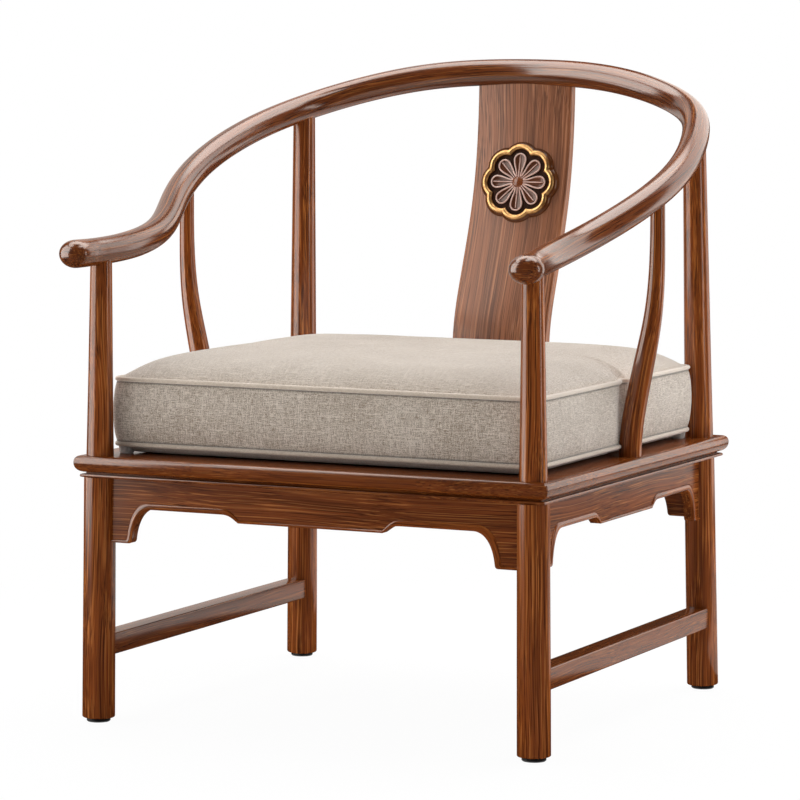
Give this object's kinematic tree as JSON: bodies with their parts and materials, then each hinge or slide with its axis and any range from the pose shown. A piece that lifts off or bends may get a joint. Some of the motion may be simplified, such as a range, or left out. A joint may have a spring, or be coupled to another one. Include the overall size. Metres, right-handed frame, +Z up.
{
  "type": "horseshoe back armchair",
  "caption": "Low armchair with a continuous horseshoe crest rail, S-curved splat with a flower medallion, shaped aprons, side stretchers and a loose box cushion.",
  "frame": {"origin": "on the floor, at the bottom centre of the whole chair's bounding box", "axes": "+Z up, -Y towards the front of the seat, +X towards the sitter's left, which is on the right when the chair is seen from the front"},
  "size_m": [0.757, 0.8056, 0.889],
  "materials": {
    "wood": "satin lacquer",
    "splat_wood": "satin lacquer",
    "carving": "satin lacquer",
    "carving_dark": "satin lacquer",
    "gilt": "antique gilt",
    "linen": "slubby linen weave",
    "zip": "satin",
    "glide": "satin",
    "nail": "plain"
  },
  "bodies": {
    "frame": {"apron_front": "wood", "apron_left": "wood", "apron_rear": "wood", "apron_right": "wood", "back_splat": "splat_wood", "crest_arm_left": "wood", "crest_arm_right": "wood", "crest_back": "wood", "crest_bend_left": "wood", "crest_bend_right": "wood", "crest_key_arm_left": "wood", "crest_key_arm_right": "wood", "crest_key_back_left": "wood", "crest_key_back_right": "wood", "foot_glide_front_left": "glide", "foot_glide_front_right": "glide", "foot_glide_rear_left": "glide", "foot_glide_rear_right": "glide", "front_left_leg": "wood", "front_right_leg": "wood", "glide_nail_front_left": "nail", "glide_nail_front_right": "nail", "glide_nail_rear_left": "nail", "glide_nail_rear_right": "nail", "medallion_bead": "gilt", "medallion_flower": "carving", "medallion_ground": "carving_dark", "medallion_rim": "carving_dark", "rear_left_leg": "wood", "rear_right_leg": "wood", "seat_batten_left": "wood", "seat_batten_right": "wood", "seat_panel": "wood", "seat_rail_front": "wood", "seat_rail_left": "wood", "seat_rail_rear": "wood", "seat_rail_right": "wood", "side_post_left": "wood", "side_post_right": "wood", "stretcher_left": "wood", "stretcher_right": "wood"},
    "cushion": {"cushion_pad": "linen", "cushion_zip": "zip"}
  },
  "joints": [
    {"name": "cushion_lift", "type": "slide", "parent": "frame", "child": "cushion", "axis": [0, 0, 1], "range_m": [0, 0.06]}
  ]
}
